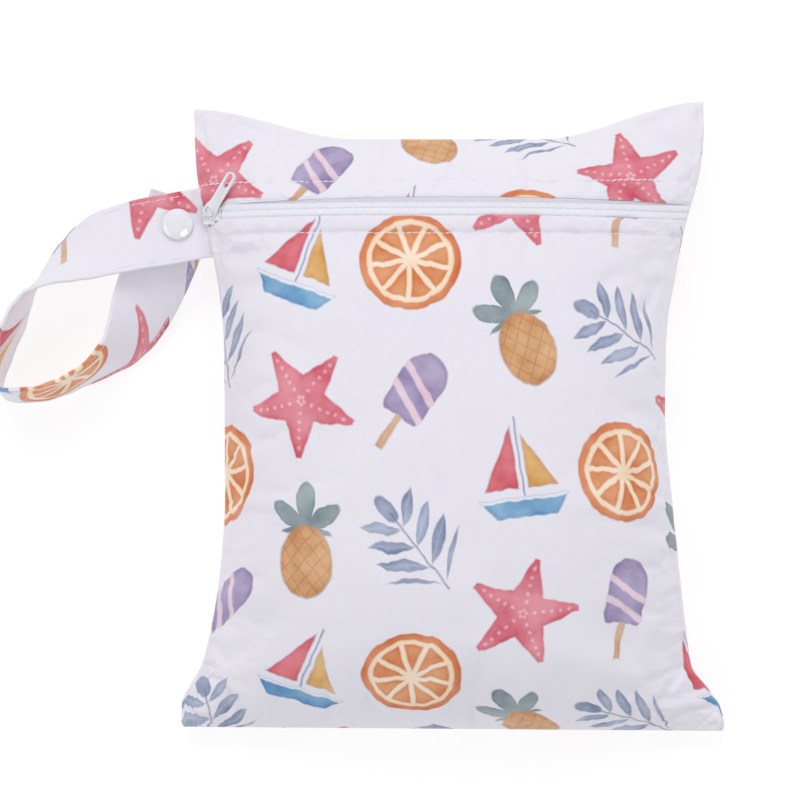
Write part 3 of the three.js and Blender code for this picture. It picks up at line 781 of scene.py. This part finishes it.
def settle_cut(lower_edge, upper_edge, rows):
    """Lets a cut of the front settle over its stuffing by a cloth simulation, held along its whole edge."""
    trial, column, row = flat_cut("cut_on_trial", TRIAL_COLUMNS, rows)
    across = np.linspace(-1, 1, TRIAL_COLUMNS + 1)[None, :]
    low = bowed(lower_edge, across)
    y = low + np.linspace(0, 1, rows + 1)[:, None] * (bowed(upper_edge, across) - low)
    start = stuffed(True, across, y, folded=False)
    place_points(trial, start[row, column])
    on_edge = (column == 0) | (column == TRIAL_COLUMNS) | (row == 0) | (row == rows)
    sewn = trial.vertex_groups.new(name="sewn")
    sewn.add([int(i) for i in np.flatnonzero(on_edge)], 1.0, "REPLACE")
    drape = trial.modifiers.new("drape", "CLOTH")
    drape.settings.vertex_group_mass = "sewn"
    drape.settings.mass = CLOTH_MASS
    drape.settings.bending_stiffness = CLOTH_STIFFNESS
    drape.settings.shrink_min = -EASE
    drape.settings.use_pressure = True
    drape.settings.uniform_pressure_force = PUSH
    drape.settings.effector_weights.gravity = 0
    drape.collision_settings.use_collision = False
    drape.point_cache.frame_start = 1
    drape.point_cache.frame_end = SETTLE_FRAMES
    for step in range(1, SETTLE_FRAMES + 1):
        scene.frame_set(step)
    draped = trial.evaluated_get(bpy.context.evaluated_depsgraph_get()).data
    moved = np.zeros_like(start)
    moved[row, column] = points_of(draped) / MM - start[row, column]
    scene.frame_set(1)
    bpy.data.objects.remove(trial)
    settled_cuts.append((lower_edge, upper_edge, without_slow_part(moved)))


def uneven(place, size, waves, drift, drift_waves):
    """A wave whose spacing drifts."""
    return size * np.sin(place * waves + drift * np.sin(place * drift_waves))


def hemmed(across, y, edge, side, stitch, rise, steepest):
    """The front beside the zipper: it rolls up from the groove of the topstitching to its folded edge."""
    off = side * (y - bowed(edge, across))
    turn = 1 - np.clip(off / FOLDED_EDGE, 0, 1)
    roll = rise * np.clip(1 - (off / stitch) ** 2, 0, 1) * (1 - across ** 6)
    turned_down = (FOLDED_EDGE + roll) * (1 - np.sqrt(1 - np.minimum(turn, steepest) ** 2))
    groove = GROOVE_DEPTH * (1 + uneven(across, *PUCKERS)) * np.exp(-(((off - stitch) / GROOVE_WIDTH) ** 2))
    pad = uneven(across, *PADS) * np.exp(-(((off - stitch * PAD_PLACE) / PAD_WIDTH) ** 2))
    points = stuffed(True, across, y)
    points[..., 2] += pad + roll - turned_down - groove
    return points


LOWER_COLUMNS = 220
LOWER_ROWS = 200
HEM_ROWS = 44
HEM_SHARE = 0.07
settle_cut(BOTTOM_EDGE, LOWER_EDGE, LOWER_TRIAL_ROWS)
lower_across = close_at_both(LOWER_COLUMNS) * 2 - 1
body_steps = (1 - HEM_SHARE) * (1 - np.cos(np.linspace(0, math.pi / 2, LOWER_ROWS - HEM_ROWS + 1)))
hem_steps = 1 - HEM_SHARE * (1 - np.sin(np.linspace(0, math.pi / 2, HEM_ROWS + 1)[1:]))
lower_steps = np.concatenate([body_steps, hem_steps])[:, None]
lower_y = BOTTOM_Y + lower_steps * (bowed(LOWER_EDGE, lower_across)[None, :] - BOTTOM_Y)
lower_grid = hemmed(lower_across[None, :], lower_y, LOWER_EDGE, -1, LOWER_STITCH, LOWER_RISE, LOWER_TURN)
lower = cloth_over("front_lower_cloth", lower_grid, LOWER_ROWS, (14, 22), pouch_cloth, WALL)
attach(lower, "bag")
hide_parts("front_lower_panel")

# Front upper panel
# The narrow cut between the zipper and the top seam, cut from another stretch of the print. Its lower edge
# is folded under and stands a little over the zipper, and its corners rise into flat ears.
UPPER_EDGE = (80.8, 83.1, 81.3)
UPPER_STITCH = 6.2
UPPER_RISE = 0.05
UPPER_TURN = 0.8
TOP_EDGE = (TOP_Y, TOP_Y, TOP_Y)
UPPER_ROWS = 70
UPPER_TRIAL_ROWS = 20
settle_cut(UPPER_EDGE, TOP_EDGE, UPPER_TRIAL_ROWS)
upper_low = bowed(UPPER_EDGE, lower_across)[None, :]
upper_y = upper_low + close_at_both(UPPER_ROWS)[:, None] * (TOP_Y - upper_low)
upper_grid = hemmed(lower_across[None, :], upper_y, UPPER_EDGE, 1, UPPER_STITCH, UPPER_RISE, UPPER_TURN)
upper = cloth_over("front_upper_cloth", upper_grid, 0, (52, 96), pouch_cloth, WALL)
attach(upper, "bag")
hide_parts("front_upper_panel")

# Zipper tapes
# Two white woven tapes behind the folded edges, ribbed along their length, each carrying one half of the
# coil on its inner edge. They are sewn in by the topstitching and end in the side seams.
TAPE_HALF_WIDTH = 12
TAPE_INSET = 0.8
TAPE_THICK = 0.8
TAPE_END = 0.996
TAPE_COLUMNS = 180
TAPE_ROWS = 16
TAPE_WEFT = 0.0006
TAPE_RIB = 0.0008


def woven_tape():
    """White tape: fine ribs along it crossed by a tight weft, with painted shade in the low parts of the
    weave.
    """
    made, tree, shader = new_material("zipper_tape_weave")
    x, y = axes_of(tree, on_flat_cloth(tree))
    along = x * (2 * math.pi / TAPE_WEFT)
    across = y * (2 * math.pi / TAPE_RIB)
    height = across.sine() * (along + across * 0.5).sine() * 0.5 + across.sine() * 0.6
    set_inputs(shader, {
        # The colour is darker where the weave is low: painted shade in its grooves, on top of the bump
        "Base Color": mixed(tree, (height * 0.4 + 0.5).within(0, 1), ink(214, 213, 224), ink(231, 230, 239)),
        "Normal": bumped(tree, height.socket, 0.7, 0.00015),
        "Roughness": 0.75,
        "Specular IOR Level": 0.25,
    })
    return made


tape_weave = woven_tape()
tape_across = (close_at_both(TAPE_COLUMNS) * 2 - 1) * TAPE_END
for name, low, high in (
    ("zipper_tape_upper", SEAM_GAP / 2, TAPE_HALF_WIDTH),
    ("zipper_tape_lower", -TAPE_HALF_WIDTH, -SEAM_GAP / 2),
):
    tape_y = ZIP_Y + np.linspace(low, high, TAPE_ROWS + 1)
    tape_grid = stuffed(True, tape_across[None, :], tape_y[:, None], TAPE_INSET)
    tape = cloth_over(name + "_weave", tape_grid, 0, (0, 0), tape_weave, TAPE_THICK)
    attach(tape, "bag")
    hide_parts(name)

# Zipper chain
# A coil zipper turned with its nylon turns inward: from outside each half shows as a roll along the middle,
# with fine ribs where the turns press through. The two rolls meet in a line and end in the side seams.
MEETING = (79.2, 78.5, 78.9)
CHAIN_FROM = -0.955
RIB_PITCH = 0.85
RIB_POINTS = 5
ROLL_ROWS = 14

# Each roll: the middle of it above the line where the two meet, half its width, its height and its ribs
ROLLS = [(1.2, 1.4, 0.85, 0.3), (-1.3, 1.6, 0.85, 0.12)]
CHAIN_DROP = 0.65

# Steps by which the slope of the front is felt, across it as a share of half its width and up it
STEP_ACROSS = 0.004
STEP_UP = 0.3
FINE_STEPS = 2001
LENGTH_STEPS = 800


def lay_on_front(piece, line, rise):
    """Lays a flat model on the front: X runs from the left seam along a line, Y up from it, and Z out."""
    flat = points_of(piece.data) / MM
    fine = np.linspace(-1, 1, FINE_STEPS)
    length = flat_lengths(stuffed(True, fine, bowed(line, fine)), 0, 0)
    across = np.interp(flat[:, 0], length, fine)
    up = bowed(line, across) + flat[:, 1]
    right = stuffed(True, np.clip(across + STEP_ACROSS, -1, 1), up)
    left = stuffed(True, np.clip(across - STEP_ACROSS, -1, 1), up)
    rising = stuffed(True, across, up + STEP_UP) - stuffed(True, across, up - STEP_UP)
    outward = np.cross(right - left, rising)
    outward /= np.linalg.norm(outward, axis=1)[:, None]
    place_points(piece, stuffed(True, across, up) + outward * (flat[:, 2] + rise)[:, None])


def length_at(line, across):
    """Length over the front along a line from the left seam to a place across it."""
    fine = np.linspace(-1, across, LENGTH_STEPS)
    return flat_lengths(stuffed(True, fine, bowed(line, fine)), 0, 0)[-1]


def join_pieces(pieces, name):
    """Joins pieces into one of that name."""
    select_only(*pieces)
    bpy.ops.object.join()
    pieces[0].name = name
    return pieces[0]


chain_start = length_at(MEETING, CHAIN_FROM)
chain_end = length_at(MEETING, TAPE_END)
chain_columns = int((chain_end - chain_start) / RIB_PITCH) * RIB_POINTS
rolls = []
for middle, half, tall, rib in ROLLS:
    roll, column, row = flat_cut("zipper_roll", chain_columns, ROLL_ROWS)
    along = chain_start + (chain_end - chain_start) * column / chain_columns
    around = 2 * math.pi * row / ROLL_ROWS
    swell = 1 - rib * np.sin(math.pi * along / RIB_PITCH) ** 2
    round_y = middle + half * swell * np.cos(around)
    place_points(roll, np.stack([along, round_y, tall * swell * np.sin(around)], axis=-1))
    bpy.ops.object.shade_smooth()
    rolls.append(roll)
chain = join_pieces(rolls, "zipper_chain")
lay_on_front(chain, MEETING, -CHAIN_DROP)


def white_nylon():
    """Slightly milky white nylon with a soft shine and faint streaks."""
    made, tree, shader = new_material("white_nylon")
    where = tree.nodes.new("ShaderNodeTexCoord")
    streak = Term(tree, cloud(tree, where.outputs["Object"], 700, 2).outputs["Fac"])
    set_inputs(shader, {
        "Base Color": mixed(tree, streak, ink(227, 227, 235), ink(238, 238, 244)),
        "Roughness": 0.38,
        "Subsurface Weight": 0.15,
        "Subsurface Radius": (0.0006, 0.0006, 0.0006),
    })
    return made


chain.data.materials.append(white_nylon())
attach(chain, "bag")
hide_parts("zipper_coil")

# Slider and pull
# A die-cast slider stands at the closed end by the left seam, with a bridge that holds the swinging tab.
# Both are dipped in white enamel that is worn to grey metal along the edges.
ROUNDING_STEPS = 3
METAL_CORNER = 35


def white_enamel():
    """White enamel, thin and worn on the edges, with a clear shine."""
    made, tree, shader = new_material("slider_enamel")
    where = tree.nodes.new("ShaderNodeTexCoord")
    patch = cloud(tree, where.outputs["Object"], 450, 4).outputs["Fac"]
    edges = tree.nodes.new("ShaderNodeNewGeometry")
    sharp = (Term(tree, edges.outputs["Pointiness"]) - 0.56) * 9
    worn = (sharp * (Term(tree, patch) + 0.35)).within(0, 1)
    set_inputs(shader, {
        "Base Color": mixed(tree, worn, ink(240, 241, 245), ink(168, 168, 176)),
        "Metallic": (worn * 0.7).socket,
        "Roughness": (worn * 0.15 + 0.28).socket,
        "Normal": bumped(tree, patch, 0.15, 0.0001),
        "Coat Weight": 0.4,
        "Coat Roughness": 0.15,
    })
    return made


def round_edges(piece, name, width, corner):
    """Rounds the edges of a piece that are sharper than a corner in degrees."""
    edge = piece.modifiers.new(name, "BEVEL")
    edge.width = width * MM
    edge.segments = ROUNDING_STEPS
    edge.limit_method = "ANGLE"
    edge.angle_limit = math.radians(corner)
    return edge


enamel = white_enamel()
for node, width in (("zipper_slider", 0.16), ("zipper_pull", 0.2)):
    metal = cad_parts[node]
    metal.data.materials.clear()
    metal.data.materials.append(enamel)
    round_edges(metal, "soft_edge", width, METAL_CORNER).harden_normals = True

# Topstitching
# Two rows of white thread run beside the zipper from seam to seam, one through each folded edge and its
# tape. Every stitch is a short twisted bar that sinks into the cloth at both ends.
STITCH = 2.2
STITCH_PITCH = 2.45
STITCH_LIFT = 0.12
THREAD_RADIUS = 0.19
THREAD_SIDES = 8
THREAD_TWIST = 0.0005
STITCH_FROM = 2.2
STITCH_CUTS = (-0.3, 0, 0.3)
SLANT = 0.12
END_SLIM = 0.45
END_DIP = 0.5


def settle(piece):
    """Applies the place, turn and size of a piece to its mesh."""
    select_only(piece)
    bpy.ops.object.transform_apply(location=True, rotation=True, scale=True)


def one_stitch(name, start, radius):
    """One stitch along X with ends that dip, made from a rod of thread."""
    bpy.ops.mesh.primitive_cylinder_add(
        vertices=THREAD_SIDES, radius=radius * MM, depth=STITCH * MM, rotation=(0, math.pi / 2, 0)
    )
    stitch = bpy.context.object
    stitch.name = name
    settle(stitch)
    bpy.ops.object.mode_set(mode="EDIT")
    for cut in STITCH_CUTS:
        bpy.ops.mesh.select_all(action="SELECT")
        bpy.ops.mesh.bisect(plane_co=(cut * STITCH * MM, 0, 0), plane_no=(1, 0, 0))
    bpy.ops.object.mode_set(mode="OBJECT")
    for point in stitch.data.vertices:
        out = abs(point.co.x) / (STITCH * MM / 2)
        slim = 1 - END_SLIM * out ** 4
        point.co.y = point.co.y * slim + SLANT * point.co.x
        point.co.z = point.co.z * slim - END_DIP * radius * MM * out ** 3
        point.co.x += start * MM
    return stitch


def repeat_along(piece, pitch, count):
    """Copies a piece along X and makes the copies real."""
    select_only(piece)
    row_of = piece.modifiers.new("row", "ARRAY")
    row_of.use_relative_offset = False
    row_of.use_constant_offset = True
    row_of.constant_offset_displace = (pitch * MM, 0, 0)
    row_of.count = count
    bpy.ops.object.modifier_apply(modifier="row")
    bpy.ops.object.shade_smooth()


def sewing_thread():
    """White polyester thread with a silky shine, its twist painted on as darker stripes of shade."""
    made, tree, shader = new_material("sewing_thread")
    x, y = axes_of(tree, tree.nodes.new("ShaderNodeTexCoord").outputs["Object"])
    # The twist is drawn only in colour: darker stripes of painted shade between the plies
    painted_twist_shade = (x + y) * (2 * math.pi / THREAD_TWIST)
    set_inputs(shader, {
        "Base Color": mixed(tree, painted_twist_shade.sine() * 0.5 + 0.5, ink(226, 224, 234), ink(246, 246, 250)),
        "Roughness": 0.55,
        "Sheen Weight": 0.3,
    })
    return made


thread = sewing_thread()
zip_stitching = []
for edge, off in ((LOWER_EDGE, -LOWER_STITCH), (UPPER_EDGE, UPPER_STITCH)):
    stitch_line = tuple(height + off for height in edge)
    whole = length_at(stitch_line, 1)
    stitched = one_stitch("zip_stitch", STITCH_FROM, THREAD_RADIUS)
    repeat_along(stitched, STITCH_PITCH, int((whole - 2 * STITCH_FROM) / STITCH_PITCH))
    lay_on_front(stitched, stitch_line, STITCH_LIFT - GROOVE_DEPTH)
    zip_stitching.append(stitched)
topstitching = join_pieces(zip_stitching, "zipper_topstitching")
topstitching.data.materials.append(thread)
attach(topstitching, "bag")

# Wrist loop
# A band of the same cloth folded to width and stitched along both edges. One end is sewn into the left side
# seam beside the slider, and the band bends round on its edge until its free end lies under the first.
STRAP_WIDTH = 27
STRAP_THICK = 1.5
STRAP_COLUMNS = 24
STRAP_ROWS = 300
EDGE_STITCH = 1.9
EDGE_THREAD = 0.15
IN_SEAM = 1.6
SEAM_REACH = 30
ROUTE_STEPS = 4001
ROUTE_STEP = 0.001
SEAM_STEPS = 301
BAND_ROUND = 0.55
BAND_CORNER = 50

# Small waves of the band's edges: size, waves along it, and how they drift
EDGE_WAVES = (0.22, 0.55, 1, 0.21)

# The edge stitching: where it starts after the seam, where it stops before the free end, and its lift
EDGE_STITCH_FROM = 3
EDGE_STITCH_STOP = 2
EDGE_STITCH_LIFT = 0.03

# Stations of the band in millimetres, and how far its inner edge leans up from lying flat, in degrees
STRAP_ROUTE = np.array([
    (-86.5, 75.9, 17.8, 0),
    (-94.6, 74.3, 19.2, 0),
    (-98.8, 73.5, 20.9, 0),
    (-104.6, 72.4, 21.2, 0),
    (-111.5, 71.1, 21.3, 1),
    (-119.2, 69.8, 21.5, 8),
    (-134.6, 65.8, 20.2, 23),
    (-150, 58.9, 16.4, 57),
    (-161.5, 49.6, 13.9, 86),
    (-168.5, 36, 13.9, 100),
    (-174.2, 20.2, 13.9, 97),
    (-172.8, 9, 13.8, 82),
    (-157, 8.9, 13.7, 80),
    (-141, 15.8, 13.6, 78),
    (-128.6, 25, 13.1, 62),
    (-121.8, 35.5, 12.4, 42),
    (-117.4, 45.8, 12.2, 25),
    (-112.9, 56.4, 13, 12),
    (-108.2, 67.5, 14.6, 6),
    (-105.9, 74.1, 15, 5),
    (-103.8, 80, 14.6, 5),
    (-102.6, 84, 13.8, 5),
])


def route_at(t):
    """Place and lean of the band at each t from 0 to 1, on a smooth curve through its stations."""
    last = len(STRAP_ROUTE) - 1
    i = np.clip((t * last).astype(int), 0, last - 1)
    p = (t * last - i)[:, None]
    padded = np.concatenate([
        2 * STRAP_ROUTE[:1] - STRAP_ROUTE[1:2], STRAP_ROUTE, 2 * STRAP_ROUTE[-1:] - STRAP_ROUTE[-2:-1]
    ])
    return sum(share * padded[i + k] for k, share in enumerate(curve_shares(p)))


fine_t = np.linspace(0, 1, ROUTE_STEPS)
route_length = flat_lengths(route_at(fine_t)[:, :3], 0, 0)
STRAP_LENGTH = route_length[-1]


def on_strap(along, across, out):
    """Points on the band: along it from its sewn end, across it to its inner edge, and out of its face."""
    t = np.interp(along, route_length, fine_t)
    here = route_at(t)
    ahead = (route_at(np.minimum(t + ROUTE_STEP, 1)) - route_at(np.maximum(t - ROUTE_STEP, 0)))[:, :3]
    ahead /= np.linalg.norm(ahead, axis=1)[:, None]
    lean = np.radians(here[:, 3])
    level = np.stack([-ahead[:, 1], ahead[:, 0], np.zeros(len(t))], axis=1)
    level /= np.linalg.norm(level, axis=1)[:, None]
    width = level * np.cos(lean)[:, None]
    width[:, 2] = np.sin(lean)
    width -= ahead * (width * ahead).sum(axis=1)[:, None]
    width /= np.linalg.norm(width, axis=1)[:, None]
    face = np.cross(ahead, width)
    return here[:, :3] + width * across[:, None] + face * out[:, None]


def seam_start(across):
    """Length along the route at which the band leaves the side seam, for one place across the band."""
    along = np.linspace(0, SEAM_REACH, SEAM_STEPS)
    points = on_strap(along, np.full_like(along, across), np.zeros_like(along))
    inside = points[:, 0] > section(LEFT, points[:, 1]) + IN_SEAM
    return along[np.count_nonzero(inside)]


band_across = np.linspace(-STRAP_WIDTH / 2, STRAP_WIDTH / 2, STRAP_COLUMNS + 1)
band_along = np.linspace(0, STRAP_LENGTH, STRAP_ROWS + 1)
grid_along, grid_across = (g.ravel() for g in np.meshgrid(band_along, band_across, indexing="ij"))
grid_start = np.interp(grid_across, band_across, [seam_start(across) for across in band_across])
grid_along = grid_start + grid_along * (1 - grid_start / STRAP_LENGTH)
edge_share = 2 * np.abs(grid_across) / STRAP_WIDTH
band_points = on_strap(grid_along, grid_across, uneven(grid_along, *EDGE_WAVES) * edge_share ** 3)
band_grid = band_points.reshape(STRAP_ROWS + 1, STRAP_COLUMNS + 1, 3)
strap_cloth = printed_cloth("strap_cloth")
band = cloth_over("wrist_band", band_grid, 0, (20, 8), strap_cloth, STRAP_THICK, offset=0, turned=True)
round_edges(band, "folded_edge", BAND_ROUND, BAND_CORNER)
bpy.ops.object.modifier_apply(modifier="folded_edge")
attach(band, "bag")
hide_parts("strap_loop")

band_stitching = []
for edge in (-1, 1):
    for face in (-1, 1):
        stitch_row = edge * (STRAP_WIDTH / 2 - EDGE_STITCH)
        stitch_start = seam_start(stitch_row) + EDGE_STITCH_FROM
        stitched = one_stitch("band_stitch", stitch_start, EDGE_THREAD)
        sewn_length = STRAP_LENGTH - stitch_start - EDGE_STITCH_STOP
        repeat_along(stitched, STITCH_PITCH, int(sewn_length / STITCH_PITCH))
        flat = points_of(stitched.data) / MM
        lift = face * (STRAP_THICK / 2 + EDGE_STITCH_LIFT + flat[:, 2])
        place_points(stitched, on_strap(flat[:, 0], stitch_row + flat[:, 1], lift))
        band_stitching.append(stitched)
edge_stitching = join_pieces(band_stitching, "band_edge_stitching")
edge_stitching.data.materials.append(thread)
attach(edge_stitching, "bag")

# Snap
# A glossy white plastic snap closes the loop: a domed cap pressed through the upper layer, a clasp between
# the two layers, and a flat cap under the lower one.
SNAP_X = -104.6
SNAP_Y = 73.6
SNAP_SIDES = 64
SNAP_CORNER = 40

# The turned pieces: name, node, height of the base, and an outline of radius and height, in millimetres
SNAP_PIECES = [
    ("snap_dome", "snap_cap", 22.45,
     [(5.4, 0), (5.8, 0.12), (6, 0.4), (5.95, 0.66), (5.7, 0.93), (5.2, 1.17), (4.4, 1.47), (3.4, 1.77),
      (2.2, 2.02), (1, 2.16), (0.3, 2.2)]),
    ("snap_socket", "snap_clasp", 16.8,
     [(4.6, 0), (5, 0.3), (5, 1.2), (4.2, 1.45), (4.2, 1.75), (5, 2.0), (5, 2.8), (4.6, 3.1), (0.4, 3.1)]),
    ("snap_underside", "snap_back_cap", 11.8,
     [(3.4, 0), (4.6, 0.18), (5.3, 0.5), (5.4, 0.8), (5.3, 1.2), (0.4, 1.2)]),
]


def white_gloss():
    """Glossy moulded plastic with a very slight unevenness."""
    made, tree, shader = new_material("snap_gloss")
    where = tree.nodes.new("ShaderNodeTexCoord")
    flow = cloud(tree, where.outputs["Object"], 160, 2).outputs["Fac"]
    set_inputs(shader, {
        "Base Color": mixed(tree, Term(tree, flow), ink(230, 229, 234), ink(239, 238, 242)),
        "Normal": bumped(tree, flow, 0.05, 0.0002),
        "Roughness": 0.1,
        "Specular IOR Level": 0.6,
        "Coat Weight": 0.6,
        "Coat Roughness": 0.05,
        "Subsurface Weight": 0.1,
        "Subsurface Radius": (0.001, 0.001, 0.001),
    })
    return made


gloss = white_gloss()
for name, node, base, outline in SNAP_PIECES:
    first, foot = outline[0]
    bpy.ops.mesh.primitive_circle_add(
        vertices=SNAP_SIDES, radius=first * MM, fill_type="NGON",
        location=(SNAP_X * MM, SNAP_Y * MM, (base + foot) * MM)
    )
    turned = bpy.context.object
    turned.name = name
    bpy.ops.object.mode_set(mode="EDIT")
    bpy.ops.mesh.select_all(action="SELECT")
    bpy.ops.mesh.extrude_region_move(TRANSFORM_OT_translate={"value": (0, 0, 0)})
    for (last, low), (radius, high) in zip(outline, outline[1:]):
        share = radius / last
        bpy.ops.transform.resize(value=(share, share, 1), center_override=(SNAP_X * MM, SNAP_Y * MM, 0))
        bpy.ops.transform.translate(value=(0, 0, (high - low) * MM))
        bpy.ops.mesh.extrude_region_move(TRANSFORM_OT_translate={"value": (0, 0, 0)})
    bpy.ops.mesh.select_all(action="SELECT")
    bpy.ops.mesh.remove_doubles(threshold=1e-6)
    bpy.ops.mesh.normals_make_consistent(inside=False)
    bpy.ops.object.mode_set(mode="OBJECT")
    settle(turned)
    bpy.ops.object.shade_smooth_by_angle(angle=math.radians(SNAP_CORNER))
    turned.data.materials.append(gloss)
    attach(turned, "bag")
    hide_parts(node)
